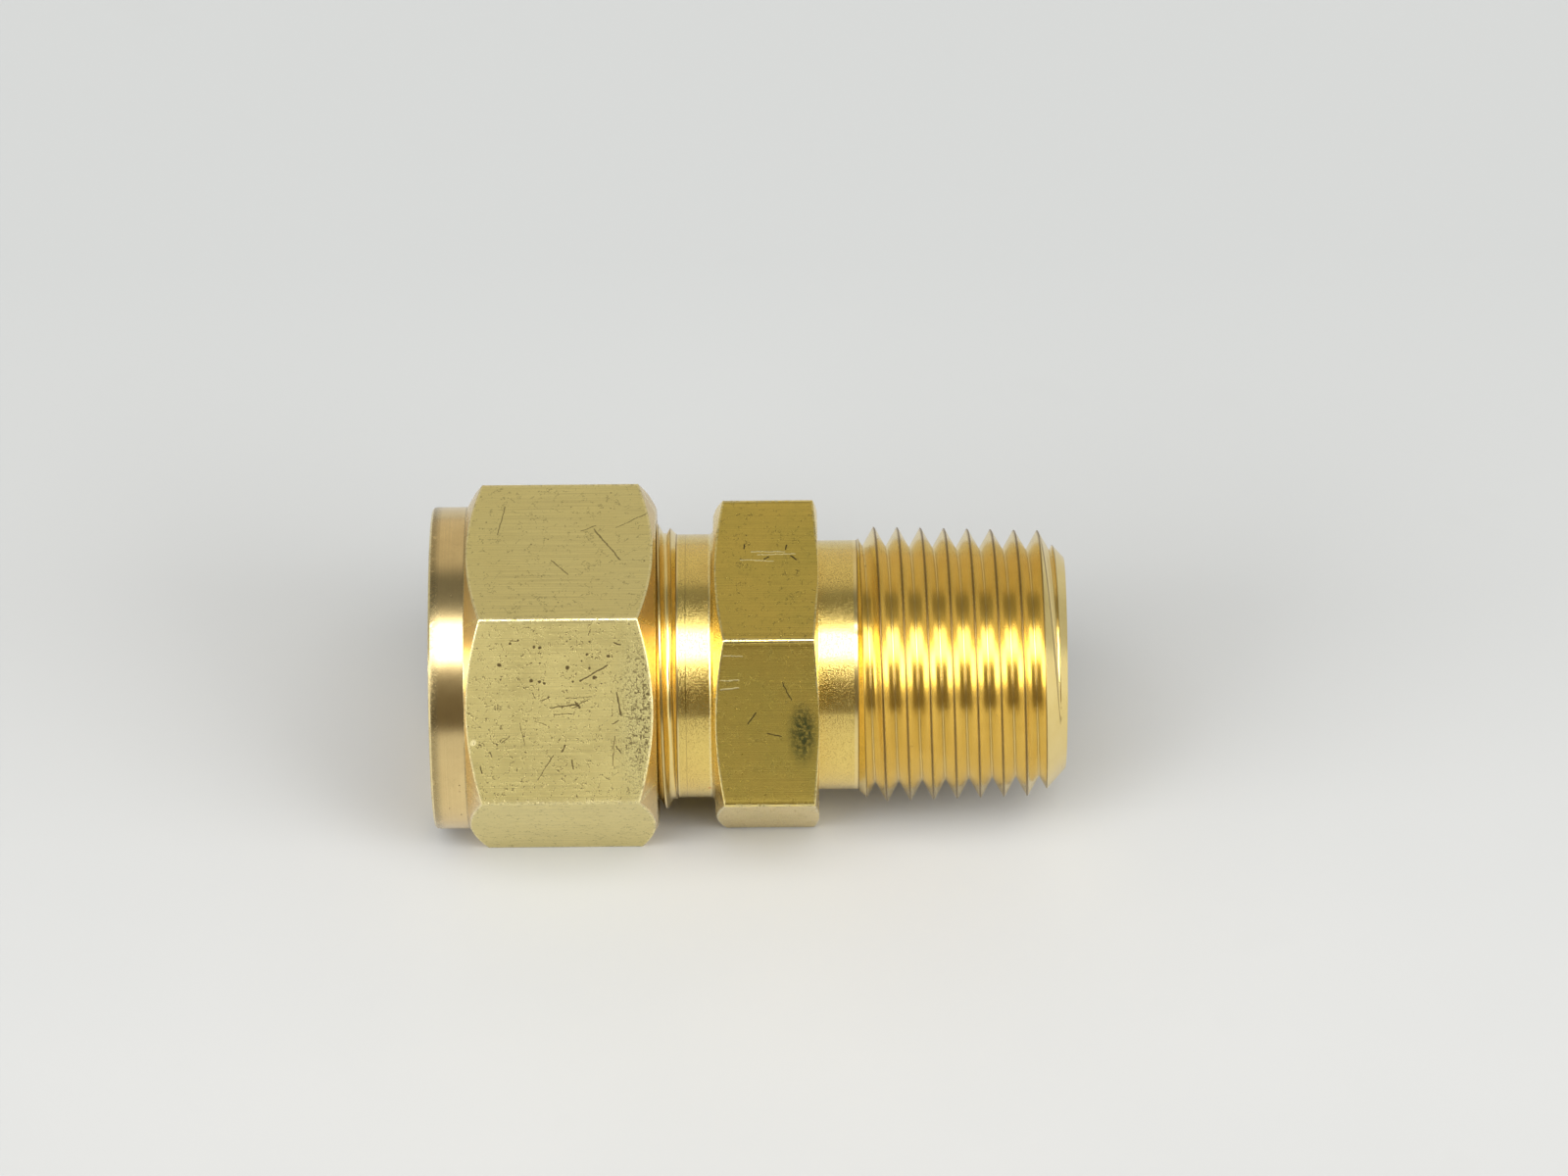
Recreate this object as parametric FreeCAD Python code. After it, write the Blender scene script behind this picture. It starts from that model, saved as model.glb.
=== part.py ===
import FreeCAD, Part
import math
import os

os.makedirs("parts", exist_ok=True)

# Male connector, 5/8 in tube to 1/2 in taper pipe thread. All lengths in mm, angles in degrees.
# The axis of the fitting is X. The tube-stop shoulder is at X = 0, the nut and the tube are on the
# -X side and the pipe thread is on the +X side. Angles about X run from +Y towards +Z.

FLANK_SLOPE = math.tan(math.radians(30.0))   # both threads have 60 degree forms
CUTTER_OVERSHOOT = 0.04                      # how far the flanks of a groove cutter pass the crest
CUTTER_RIM = 0.35                            # straight-sided part of a groove cutter beyond that
POINTS_PER_TURN = 24                         # points that carry a thread helix
TURN_OVERLAP = 2.0                           # degrees by which one turn of a cutter enters the next
ENVELOPE_MARGIN = 1.0                        # how far a chamfer cone reaches past the hexagon's corners
EDGE_SEARCH_GAP = 0.01                       # how closely an edge has to lie at its stated place

# tube socket and flow passage of the connector body
SOCKET_R = 8.02
MOUTH_X = -15.6
MOUTH_R = 9.7
SEAT_HALF_ANGLE = 20.0
PASSAGE_R = 6.35

# straight thread between connector body and nut
NUT_THREAD_PITCH = 1.27
BODY_MAJOR_R = 11.05
BODY_ROOT_R = 10.33
BODY_CREST_FLAT = 0.16
BODY_THREAD_START_R = 10.2
BODY_THREAD_END_X = -6.27
BODY_CREST_X = -6.97 - NUT_THREAD_PITCH * 44.8 / 360.0    # a crest's centre at angle 0
THREAD_FLANK_GAP = 0.07
NUT_MAJOR_R = 11.2
NUT_MINOR_R = 10.52

# wrench hexagon and necks of the connector body
NECK_LEFT_R = 10.23
NECK_RIGHT_R = 9.68
NECK_BLEND = 0.25
BODY_HEX_FLATS = 23.81
BODY_HEX_TURN = 6.4
BODY_HEX_X = (-2.6, 5.45)
BODY_HEX_CORNER_ROUND = 0.3
BODY_HEX_LEFT_FACE_R = 11.6
BODY_HEX_LEFT_CHAMFER = 20.0
BODY_HEX_RIGHT_FACE_R = 11.9
BODY_HEX_RIGHT_CHAMFER = 10.0

# taper pipe thread, 14 threads per inch, taper 1 in 16 on the diameter
PIPE_END_X = 24.6
PIPE_PITCH = 25.4 / 14.0
PIPE_TAPER = 1.0 / 32.0
PIPE_END_CREST_R = 10.25
PIPE_END_ROOT_R = 8.77
PIPE_ROOT_FLAT = 0.06
PIPE_CREST_X = 9.87 - PIPE_PITCH * 44.8 / 360.0         # a crest's centre at angle 0
PIPE_BAND_X = 8.5
PIPE_END_FACE_R = 8.2
PIPE_CHAMFER_SLOPE = 1.0876
RUNOUT_START = -135.0
RUNOUT_END = 45.0
RUNOUT_LIFT = 0.7

# nut
NUT_X = (-24.4, -7.0)
NUT_HEX_FLATS = 25.4
NUT_HEX_CORNER_ROUND = 0.25
COLLAR_R = 12.5
COLLAR_END_X = -21.65
COLLAR_RIM_ROUND = 0.38
NUT_CHAMFER = 30.0
NUT_FACE_R = 12.3
NUT_TUBE_R = 8.25
NUT_TUBE_HOLE_CHAMFER = 0.25
NUT_SEAT_X = -19.6
NUT_CLEARANCE_R = 9.75
NUT_RELIEF_X = (-16.4, -14.6)
NUT_RELIEF_R = 11.35
NUT_ENTRY_R = 11.3

# ferrules
FERRULE_GAP = 0.08
FERRULE_BORE_R = 8.02
FRONT_NOSE_X = -11.8
FRONT_OUTER_R = 9.55
FRONT_REAR_X = -17.4
RECESS_MOUTH_R = 9.2
BACK_NOSE_X = -16.45
BACK_OUTER_R = 9.45
BACK_REAR_R = 8.27

AXIS = FreeCAD.Vector(1, 0, 0)
ORIGIN = FreeCAD.Vector(0, 0, 0)


def tan_deg(angle):
    return math.tan(math.radians(angle))


def at_angle(x, radius, angle):
    """Point at a given X, distance from the axis and angle about the axis."""
    a = math.radians(angle)
    return FreeCAD.Vector(x, radius * math.cos(a), radius * math.sin(a))


def revolved(profile, seam_angle=180.0):
    """Solid of revolution about X from a closed outline of (x, radius) points."""
    points = [at_angle(x, r, seam_angle) for x, r in profile]
    outline = Part.makePolygon(points + points[:1])
    return Part.Face(outline).revolve(ORIGIN, AXIS, 360)


def hex_prism(flats, x_range, corner_round, turn):
    """Hexagonal bar along X with rounded corners. At turn 0 one flat faces +Z."""
    corner_r = flats / math.sqrt(3.0)
    points = [at_angle(x_range[0], corner_r, turn + 60.0 * i) for i in range(6)]
    face = Part.Face(Part.makePolygon(points + points[:1]))
    prism = face.extrude(AXIS * (x_range[1] - x_range[0]))
    corners = [e for e in prism.Edges if abs(e.tangentAt(e.FirstParameter).x) > 0.9]
    return prism.makeFillet(corner_round, corners)


def groove_cutter(spine_points, half_flat, depth, outward):
    """Solid that cuts one turn of a thread groove whose bottom follows the points of a helix.

    outward is +1 for a groove that opens away from the axis and -1 for one that opens towards it.
    """
    start = spine_points[0]
    radial = FreeCAD.Vector(0, start.y, start.z).normalize() * outward
    shoulder = depth + CUTTER_OVERSHOOT
    half_mouth = half_flat + shoulder * FLANK_SLOPE
    rim = shoulder + CUTTER_RIM
    outline = [
        (-half_flat, 0.0), (half_flat, 0.0), (half_mouth, shoulder),
        (half_mouth, rim), (-half_mouth, rim), (-half_mouth, shoulder),
    ]
    corners = [start + AXIS * along + radial * out for along, out in outline]
    curve = Part.BSplineCurve()
    curve.interpolate(spine_points)
    sweep = Part.BRepOffsetAPI.MakePipeShell(Part.Wire([curve.toShape()]))
    sweep.setBiNormalMode(AXIS)
    sweep.add(Part.makePolygon(corners + corners[:1]))
    sweep.build()
    sweep.makeSolid()
    return sweep.shape()


def helix_points(groove_x, pitch, first_angle, last_angle, radius_at):
    """Points of a right-hand helix between two angles; radius_at gives the radius from (x, angle)."""
    steps = math.ceil((last_angle - first_angle) / 360.0 * POINTS_PER_TURN)
    points = []
    for i in range(steps + 1):
        angle = first_angle + (last_angle - first_angle) * i / steps
        x = groove_x + pitch * angle / 360.0
        points.append(at_angle(x, radius_at(x, angle), angle))
    return points


def whole_turns(groove_x, pitch, x):
    """Number of whole turns from where the groove crosses angle 0 to a given X, rounded down."""
    return math.floor((x - groove_x) / pitch)


def cut_thread(blank, groove_x, pitch, first_angle, turns, radius_at, half_flat, depth, outward=1):
    """Cut a right-hand groove into the blank, one turn after another.

    groove_x is where the groove's centre crosses angle 0.
    """
    for turn in range(turns):
        start = first_angle + 360.0 * turn
        points = helix_points(groove_x, pitch, start, start + 360.0 + TURN_OVERLAP, radius_at)
        blank = blank.cut(groove_cutter(points, half_flat, depth, outward))
    return blank


def seat_radius(x):
    """Radius of the body's conical ferrule seat."""
    return MOUTH_R + (MOUTH_X - x) * tan_deg(SEAT_HALF_ANGLE)


def recess_radius(x):
    """Radius of the 45 degree recess in the rear of the front ferrule."""
    return RECESS_MOUTH_R - (x - FRONT_REAR_X)


def pipe_crest_radius(x):
    return PIPE_END_CREST_R + (PIPE_END_X - x) * PIPE_TAPER


def pipe_root_radius(x, angle):
    """Bottom of the pipe thread's groove; it rises out of the metal where the thread begins."""
    radius = PIPE_END_ROOT_R + (PIPE_END_X - x) * PIPE_TAPER
    if angle < RUNOUT_END:
        fraction = (RUNOUT_END - angle) / (RUNOUT_END - RUNOUT_START)
        radius += RUNOUT_LIFT * fraction ** 2
    return radius


def make_tube_end():
    """Threaded tube end of the body, from the mouth to the left face of the hexagon."""
    start_chamfer = BODY_MAJOR_R - BODY_THREAD_START_R
    shoulder_end_x = BODY_THREAD_END_X + BODY_MAJOR_R - NECK_LEFT_R
    hex_face_x = BODY_HEX_X[0]
    seat_end_x = MOUTH_X + (MOUTH_R - SOCKET_R) / tan_deg(SEAT_HALF_ANGLE)
    blank = revolved([
        (MOUTH_X, MOUTH_R), (MOUTH_X, BODY_THREAD_START_R),
        (MOUTH_X + start_chamfer, BODY_MAJOR_R), (BODY_THREAD_END_X, BODY_MAJOR_R),
        (shoulder_end_x, NECK_LEFT_R), (hex_face_x - NECK_BLEND, NECK_LEFT_R),
        (hex_face_x, NECK_LEFT_R + NECK_BLEND), (hex_face_x, SOCKET_R), (seat_end_x, SOCKET_R),
    ])
    depth = BODY_MAJOR_R - BODY_ROOT_R
    half_flat = NUT_THREAD_PITCH / 2.0 - BODY_CREST_FLAT / 2.0 - depth * FLANK_SLOPE
    groove_x = BODY_CREST_X + NUT_THREAD_PITCH / 2.0
    first_turn = whole_turns(groove_x, NUT_THREAD_PITCH, MOUTH_X - NUT_THREAD_PITCH / 2.0)
    last_turn = whole_turns(groove_x, NUT_THREAD_PITCH, shoulder_end_x + NUT_THREAD_PITCH)
    return cut_thread(
        blank, groove_x, NUT_THREAD_PITCH, 360.0 * first_turn, last_turn - first_turn,
        lambda x, angle: BODY_ROOT_R, half_flat, depth)


def make_pipe_end():
    """Taper-threaded end of the body, from the right face of the hexagon to the pipe end."""
    hex_face_x = BODY_HEX_X[1]
    band_rise = (pipe_crest_radius(PIPE_BAND_X) - NECK_RIGHT_R) / (1.0 + PIPE_TAPER)
    chamfer_x = PIPE_END_X - (PIPE_END_CREST_R - PIPE_END_FACE_R) / (PIPE_CHAMFER_SLOPE - PIPE_TAPER)
    blank = revolved([
        (hex_face_x, PASSAGE_R), (hex_face_x, NECK_RIGHT_R), (PIPE_BAND_X, NECK_RIGHT_R),
        (PIPE_BAND_X + band_rise, NECK_RIGHT_R + band_rise),
        (chamfer_x, pipe_crest_radius(chamfer_x)),
        (PIPE_END_X, PIPE_END_FACE_R), (PIPE_END_X, PASSAGE_R),
    ])
    groove_x = PIPE_CREST_X - PIPE_PITCH / 2.0
    turns = whole_turns(groove_x, PIPE_PITCH, PIPE_END_X) + 1
    depth = PIPE_END_CREST_R - PIPE_END_ROOT_R
    return cut_thread(
        blank, groove_x, PIPE_PITCH, RUNOUT_START, turns,
        pipe_root_radius, PIPE_ROOT_FLAT / 2.0, depth)


def make_body_hexagon():
    """Wrench hexagon of the body with both corner chamfers, bored for the socket and the passage."""
    left_x, right_x = BODY_HEX_X
    rim_r = BODY_HEX_FLATS / math.sqrt(3.0) + ENVELOPE_MARGIN
    left_chamfer_x = left_x + (rim_r - BODY_HEX_LEFT_FACE_R) * tan_deg(BODY_HEX_LEFT_CHAMFER)
    right_chamfer_x = right_x - (rim_r - BODY_HEX_RIGHT_FACE_R) * tan_deg(BODY_HEX_RIGHT_CHAMFER)
    envelope = revolved([
        (left_x, SOCKET_R), (left_x, BODY_HEX_LEFT_FACE_R), (left_chamfer_x, rim_r),
        (right_chamfer_x, rim_r), (right_x, BODY_HEX_RIGHT_FACE_R), (right_x, PASSAGE_R),
        (0.0, PASSAGE_R), (0.0, SOCKET_R),
    ])
    prism = hex_prism(BODY_HEX_FLATS, BODY_HEX_X, BODY_HEX_CORNER_ROUND, BODY_HEX_TURN)
    return prism.common(envelope)


def make_connector_body():
    return make_body_hexagon().fuse([make_tube_end(), make_pipe_end()])


def make_nut():
    """Nut with its round collar, tube hole, ferrule seat, thread relief and internal thread."""
    left_x, right_x = NUT_X
    rim_r = NUT_HEX_FLATS / math.sqrt(3.0) + ENVELOPE_MARGIN
    shoulder_x = COLLAR_END_X + (rim_r - COLLAR_R) * tan_deg(NUT_CHAMFER)
    chamfer_x = right_x - (rim_r - NUT_FACE_R) * tan_deg(NUT_CHAMFER)
    seat_end_x = NUT_SEAT_X + NUT_CLEARANCE_R - NUT_TUBE_R
    relief_left_x, relief_right_x = NUT_RELIEF_X
    entry = NUT_ENTRY_R - NUT_MINOR_R
    envelope = revolved([
        (left_x, NUT_TUBE_R + NUT_TUBE_HOLE_CHAMFER), (left_x, COLLAR_R), (COLLAR_END_X, COLLAR_R),
        (shoulder_x, rim_r), (chamfer_x, rim_r), (right_x, NUT_FACE_R), (right_x, NUT_ENTRY_R),
        (right_x - entry, NUT_MINOR_R), (relief_right_x, NUT_MINOR_R), (relief_right_x, NUT_RELIEF_R),
        (relief_left_x, NUT_RELIEF_R), (relief_left_x, NUT_CLEARANCE_R), (seat_end_x, NUT_CLEARANCE_R),
        (NUT_SEAT_X, NUT_TUBE_R), (left_x + NUT_TUBE_HOLE_CHAMFER, NUT_TUBE_R),
    ])
    end_edges = [e for e in envelope.Edges if e.BoundBox.XMax < left_x + EDGE_SEARCH_GAP]
    rims = [e for e in end_edges if e.BoundBox.YMax > COLLAR_R - EDGE_SEARCH_GAP]
    envelope = envelope.makeFillet(COLLAR_RIM_ROUND, rims)
    blank = hex_prism(NUT_HEX_FLATS, NUT_X, NUT_HEX_CORNER_ROUND, 0.0).common(envelope)
    crest_half_width = BODY_CREST_FLAT / 2.0 + THREAD_FLANK_GAP / math.cos(math.radians(30.0))
    half_flat = crest_half_width - (NUT_MAJOR_R - BODY_MAJOR_R) * FLANK_SLOPE
    depth = NUT_MAJOR_R - NUT_MINOR_R
    first_turn = whole_turns(BODY_CREST_X, NUT_THREAD_PITCH, relief_right_x - NUT_THREAD_PITCH / 2.0)
    last_turn = whole_turns(BODY_CREST_X, NUT_THREAD_PITCH, right_x + NUT_THREAD_PITCH) + 1
    return cut_thread(
        blank, BODY_CREST_X, NUT_THREAD_PITCH, 360.0 * first_turn, last_turn - first_turn,
        lambda x, angle: NUT_MAJOR_R, half_flat, depth, outward=-1)


def make_front_ferrule():
    """Ferrule with a long cone that fits the body's seat and a recess for the back ferrule."""
    cone_gap = FERRULE_GAP / math.cos(math.radians(SEAT_HALF_ANGLE))
    nose_r = seat_radius(FRONT_NOSE_X) - cone_gap
    cone_end_x = FRONT_NOSE_X - (FRONT_OUTER_R - nose_r) / tan_deg(SEAT_HALF_ANGLE)
    recess_end_x = FRONT_REAR_X + RECESS_MOUTH_R - FERRULE_BORE_R
    return revolved([
        (FRONT_NOSE_X, FERRULE_BORE_R), (FRONT_NOSE_X, nose_r), (cone_end_x, FRONT_OUTER_R),
        (FRONT_REAR_X, FRONT_OUTER_R), (FRONT_REAR_X, RECESS_MOUTH_R),
        (recess_end_x, FERRULE_BORE_R),
    ])


def make_back_ferrule():
    """Ferrule with a nose that enters the front ferrule and a rear bevel that fits the nut's seat."""
    cone_gap = FERRULE_GAP * math.sqrt(2.0)
    flange_x = FRONT_REAR_X - FERRULE_GAP
    bevel_x = NUT_SEAT_X + BACK_OUTER_R + cone_gap - NUT_TUBE_R
    rear_x = NUT_SEAT_X + BACK_REAR_R + cone_gap - NUT_TUBE_R
    return revolved([
        (BACK_NOSE_X, FERRULE_BORE_R), (BACK_NOSE_X, recess_radius(BACK_NOSE_X) - cone_gap),
        (flange_x, recess_radius(flange_x) - cone_gap), (flange_x, BACK_OUTER_R),
        (bevel_x, BACK_OUTER_R), (rear_x, BACK_REAR_R), (rear_x, FERRULE_BORE_R),
    ])


PARTS = {
    "connector_body": make_connector_body,
    "nut": make_nut,
    "front_ferrule": make_front_ferrule,
    "back_ferrule": make_back_ferrule,
}

for node, make in PARTS.items():
    make().exportStep(os.path.join("parts", node + ".step"))
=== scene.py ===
import math

import bmesh
import bpy
import numpy as np
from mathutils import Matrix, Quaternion, Vector


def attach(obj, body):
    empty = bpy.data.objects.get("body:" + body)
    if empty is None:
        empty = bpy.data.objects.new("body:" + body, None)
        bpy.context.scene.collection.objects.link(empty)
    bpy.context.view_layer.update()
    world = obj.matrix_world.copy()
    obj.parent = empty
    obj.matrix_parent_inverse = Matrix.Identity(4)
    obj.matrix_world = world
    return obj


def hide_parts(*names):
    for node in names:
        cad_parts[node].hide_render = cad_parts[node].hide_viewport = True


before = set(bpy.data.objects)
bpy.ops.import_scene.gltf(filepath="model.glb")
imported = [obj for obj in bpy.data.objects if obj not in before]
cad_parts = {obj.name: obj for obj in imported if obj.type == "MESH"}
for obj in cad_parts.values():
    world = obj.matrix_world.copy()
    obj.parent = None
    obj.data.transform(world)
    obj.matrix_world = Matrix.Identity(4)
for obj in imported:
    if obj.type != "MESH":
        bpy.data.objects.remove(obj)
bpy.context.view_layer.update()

# Lengths in mm, angles in degrees about X from +Y towards +Z, as in the CAD model.
MM = 0.001
COT30 = 1.0 / math.tan(math.radians(30.0))

# The fitting's own sizes, the same as in the CAD model.
PASSAGE_R = 6.35
SOCKET_R = 8.02
SEAT_X = -10.984               # where the ferrule seat meets the socket
MOUTH_X = -15.6
MOUTH_R = 9.7

NUT_PITCH = 1.27
NUT_CREST_X = -6.97 - NUT_PITCH * 44.8 / 360.0      # a crest's centre at angle 0
BODY_THREAD_END_X = -5.3
BODY_SHOULDER_X = -5.45        # where the thread's last bevel meets the neck
BODY_THREAD_START_R = 10.2
BODY_MAJOR_R = 11.05
BODY_ROOT_R = 10.33
BODY_ROOT_HALF_FLAT = 0.139
BODY_CREST_HALF_FLAT = 0.08
THREAD_FLANK_GAP = 0.07

NECK_LEFT_R = 10.23
NECK_RIGHT_R = 9.68
NECK_BLEND = 0.26
BODY_HEX = {"flats": 23.81, "round": 0.3, "turn": 6.4}
BODY_HEX_X = (-2.6, 5.45)
BODY_HEX_LEFT_FACE_R = 11.6
BODY_HEX_LEFT_CHAMFER = 20.0
BODY_HEX_RIGHT_FACE_R = 11.9
BODY_HEX_RIGHT_CHAMFER = 10.0

PIPE_PITCH = 25.4 / 14.0
PIPE_CREST_X = 9.87 - PIPE_PITCH * 44.8 / 360.0     # a crest's centre at angle 0
PIPE_TAPER = 1.0 / 32.0
PIPE_START_X = 8.2
PIPE_BAND_X = 8.5
PIPE_END_X = 24.6
PIPE_END_CREST_R = 10.25
PIPE_END_ROOT_R = 8.77
PIPE_END_FACE_R = 8.2
PIPE_CHAMFER_SLOPE = 1.0876
PIPE_ROOT_HALF_FLAT = 0.03
RUNOUT_END = 45.0              # angle at which the last groove begins to rise
RUNOUT_LIFT = 0.7

NUT_HEX = {"flats": 25.4, "round": 0.25, "turn": 0.0}
NUT_X = (-24.4, -7.0)
NUT_CHAMFER = 30.0
NUT_FACE_R = 12.3
NUT_ENTRY_R = 11.3
NUT_MAJOR_R = 11.2
NUT_MINOR_R = 10.52
NUT_RELIEF_R = 11.35
NUT_RELIEF_X = (-16.4, -14.6)
NUT_CLEARANCE_R = 9.75
NUT_SEAT_X = -19.6
NUT_HOLE_R = 8.25
NUT_HOLE_CHAMFER = 0.25
COLLAR_R = 12.5
COLLAR_END_X = -21.65

FERRULE_GAP = 0.08
FRONT_NOSE_X = -11.8
FRONT_REAR_X = -17.4
FRONT_OUTER_R = 9.55
RECESS_MOUTH_R = 9.2
BACK_NOSE_X = -16.45
BACK_OUTER_R = 9.45
BACK_REAR_R = 8.27

FLOOR_Z = -12.7

# The mesh's own sizes.
EDGE_GUARD = 0.07              # half width of the band that an edge of a thread marks
OUTSIDE_ROW = 0.6              # longest step along the profile, on the outside
BODY_BORE_ROW = 2.5
NUT_BORE_ROW = 1.5
RING_COLUMNS = 181
SHARP_EDGE = 28.0
MERGE_DISTANCE = 2e-7          # m
DEGENERATE_LENGTH = 1e-8       # m

SLOTS = ["flat", "chamfer", "turned", "face", "thread", "bore"]


# ---------------------------------------------------------------- mesh building

def hex_columns(hexagon, first_corner):
    """Angles of the mesh columns for one full turn, starting at a corner of the hexagon."""
    apothem = hexagon["flats"] / 2.0
    tangent = math.degrees(math.atan((apothem - hexagon["round"]) * math.tan(math.radians(30.0)) / apothem))
    rim = 30.0 - tangent
    near_corner = [0.0, 0.35 * rim, 0.7 * rim, rim, rim + 0.25, rim + 1.0]
    flat = list(np.linspace(rim + 2.4, 60.0 - rim - 2.4, 32))
    sector = near_corner + flat + [60.0 - a for a in near_corner[:0:-1]]
    angles = [first_corner + 60.0 * i + a for i in range(6) for a in sector]
    return np.array(angles + [first_corner + 360.0])


def hex_radius(hexagon, theta):
    """Distance from the axis to the surface of a hexagonal bar with rounded corners."""
    apothem = hexagon["flats"] / 2.0
    rho = hexagon["round"]
    from_corner = np.abs((theta - hexagon["turn"] + 30.0) % 60.0 - 30.0)
    delta = np.radians(from_corner)
    centre = (apothem - rho) / math.cos(math.radians(30.0))
    inside = np.maximum(rho ** 2 - (centre * np.sin(delta)) ** 2, 0.0)
    arc = centre * np.cos(delta) + np.sqrt(inside)
    flat = apothem / np.cos(np.radians(30.0) - delta)
    return np.minimum(arc + 1e3 * (inside <= 0.0), flat)


def rounded_path(points, theta):
    """Rows of a profile whose corners are softened.

    Each point is (x, r, softness, slot): x and r are numbers or one value per column, and slot is the
    surface between this point and the next. Returns rows of (x, r, slot, edge).
    """
    ones = np.ones_like(theta)
    xy = [np.stack([ones * p[0], ones * p[1]]) for p in points]
    rows = []
    for i, (_, _, soft, slot) in enumerate(points):
        here = xy[i]
        if i == 0 or i == len(points) - 1 or soft == 0.0:
            rows.append((here[0], here[1], slot, 1.0 if 0 < i < len(points) - 1 else 0.0))
            continue
        back = xy[i - 1] - here
        ahead = xy[i + 1] - here
        back_len = np.maximum(np.hypot(*back), 1e-9)
        ahead_len = np.maximum(np.hypot(*ahead), 1e-9)
        reach = np.minimum(soft, 0.3 * np.minimum(back_len, ahead_len))
        guard = np.minimum(2.2 * soft, 0.42 * np.minimum(back_len, ahead_len))
        before = here + back / back_len * reach
        after = here + ahead / ahead_len * reach
        previous_slot = points[i - 1][3]
        far_before = here + back / back_len * guard
        far_after = here + ahead / ahead_len * guard
        rows.append((far_before[0], far_before[1], previous_slot, 0.0))
        for t, tag in ((0.0, previous_slot), (0.33, previous_slot), (0.67, slot), (1.0, slot)):
            p = (1 - t) ** 2 * before + 2 * t * (1 - t) * here + t ** 2 * after
            rows.append((p[0], p[1], tag, 1.0))
        rows.append((far_after[0], far_after[1], slot, 0.0))
    return rows


def subdivided(rows, longest):
    """Adds rows where neighbouring rows are further apart than longest."""
    result = []
    for a, b in zip(rows, rows[1:]):
        result.append(a)
        gap = float(np.max(np.hypot(b[0] - a[0], b[1] - a[1])))
        pieces = int(gap // longest) + 1
        for j in range(1, pieces):
            t = j / pieces
            result.append((a[0] + (b[0] - a[0]) * t, a[1] + (b[1] - a[1]) * t, a[2], 0.0))
    result.append(rows[-1])
    return result


def thread_rows(theta, span, blank, centre_x, pitch, turns, root, half_flat, outward, nicks=None):
    """Rows of a threaded surface with exact edges where each groove meets the blank.

    blank is a list of (x, r) breakpoints. outward is +1 for a male thread and -1 for a female one.
    """
    x0, x1 = span
    blank_x = np.array([p[0] for p in blank])
    blank_r = np.array([p[1] for p in blank])

    def blank_at(x):
        return np.interp(x, blank_x, blank_r)

    grooves = []
    for k in turns:
        phi = theta + 360.0 * k
        c = centre_x + pitch * phi / 360.0
        grooves.append((c, root(c, phi)))

    def groove_at(x, c, root_r):
        return root_r + outward * np.maximum(np.abs(x - c) - half_flat, 0.0) * COT30

    def surface(x):
        r = blank_at(x)
        for c, root_r in grooves:
            g = groove_at(x, c, root_r)
            r = np.minimum(r, g) if outward > 0 else np.maximum(r, g)
        return r

    def crossing(inner, outer, c, root_r):
        """Where the flank between an inner and an outer x leaves the metal."""
        for _ in range(36):
            middle = 0.5 * (inner + outer)
            cut = outward * (blank_at(middle) - groove_at(middle, c, root_r)) > 0.0
            inner = np.where(cut, middle, inner)
            outer = np.where(cut, outer, middle)
        return inner

    def nick(k, amount, x):
        """Depth of the dents at x, none at the ends of the span."""
        if nicks is None:
            return 0.0
        return nicks(theta, k) * amount * ((x > x0 + 0.05) & (x < x1 - 0.05))

    def crest_rows(begin, finish, crest, index):
        """Rows between two grooves, with guards that keep each edge mark narrow."""
        guard_left = np.minimum(begin + EDGE_GUARD, finish)
        guard_right = np.maximum(finish - EDGE_GUARD, guard_left)
        places = [(guard_left, begin + EDGE_GUARD, 0.0)]
        for stop in blank_x[1:-1]:
            for offset, edge in ((-EDGE_GUARD, 0.0), (0.0, 1.0), (EDGE_GUARD, 0.0)):
                place = np.full_like(theta, stop + offset)
                places.append((np.clip(place, guard_left, guard_right), place, edge))
        places.append((guard_right, finish - EDGE_GUARD, 0.0))
        result = []
        for x, wanted, edge in places:
            at_crest = np.isclose(x, begin) | np.isclose(x, finish)
            value = np.where(at_crest, crest, np.where(np.isclose(x, wanted), edge, 0.0))
            result.append((x, surface(x) - nick(index, 1.0, x), "thread", value))
        return result

    start = np.full_like(theta, x0)
    rows = [(start, surface(start), "thread", 0.0)]
    last_right = start
    crest = np.zeros_like(theta)
    for index, (c, root_r) in enumerate(grooves):
        tries = np.stack([c - half_flat, c, c + half_flat])
        depth = outward * (blank_at(tries) - root_r)
        best = np.take_along_axis(tries, np.argmax(depth, axis=0)[None], axis=0)[0]
        bites = np.max(depth, axis=0) > 0.0
        left = np.where(bites, crossing(best, c - 0.6 * pitch, c, root_r), c)
        right = np.where(bites, crossing(best, c + 0.6 * pitch, c, root_r), c)
        left = np.clip(left, np.maximum(last_right, x0), x1)
        right = np.clip(right, left, x1)
        rows.extend(crest_rows(last_right, left, crest, index))
        root_left = np.clip(c - half_flat, left, right)
        root_right = np.clip(c + half_flat, left, right)
        middle_left = 0.5 * (left + root_left)
        middle_right = 0.5 * (right + root_right)
        near_left = 0.85 * left + 0.15 * root_left
        near_right = 0.85 * right + 0.15 * root_right
        crest_edge, flank_edge, root_edge = (np.where(bites, value, 0.0) for value in (1.0, 0.0, -1.0))
        for x, turn, dent, edge in (
            (left, index, 1.0, crest_edge), (near_left, index, 0.5, flank_edge),
            (middle_left, index, 0.0, flank_edge), (root_left, index, 0.0, root_edge),
            (root_right, index + 1, 0.0, root_edge), (middle_right, index + 1, 0.0, flank_edge),
            (near_right, index + 1, 0.5, flank_edge), (right, index + 1, 1.0, crest_edge),
        ):
            rows.append((x, surface(x) - nick(turn, dent, x), "thread", edge))
        crest = crest_edge
        last_right = right
    end = np.full_like(theta, x1)
    rows.extend(crest_rows(last_right, end, crest, index + 1))
    rows.append((end, surface(end), "thread", 0.0))
    return rows


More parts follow.
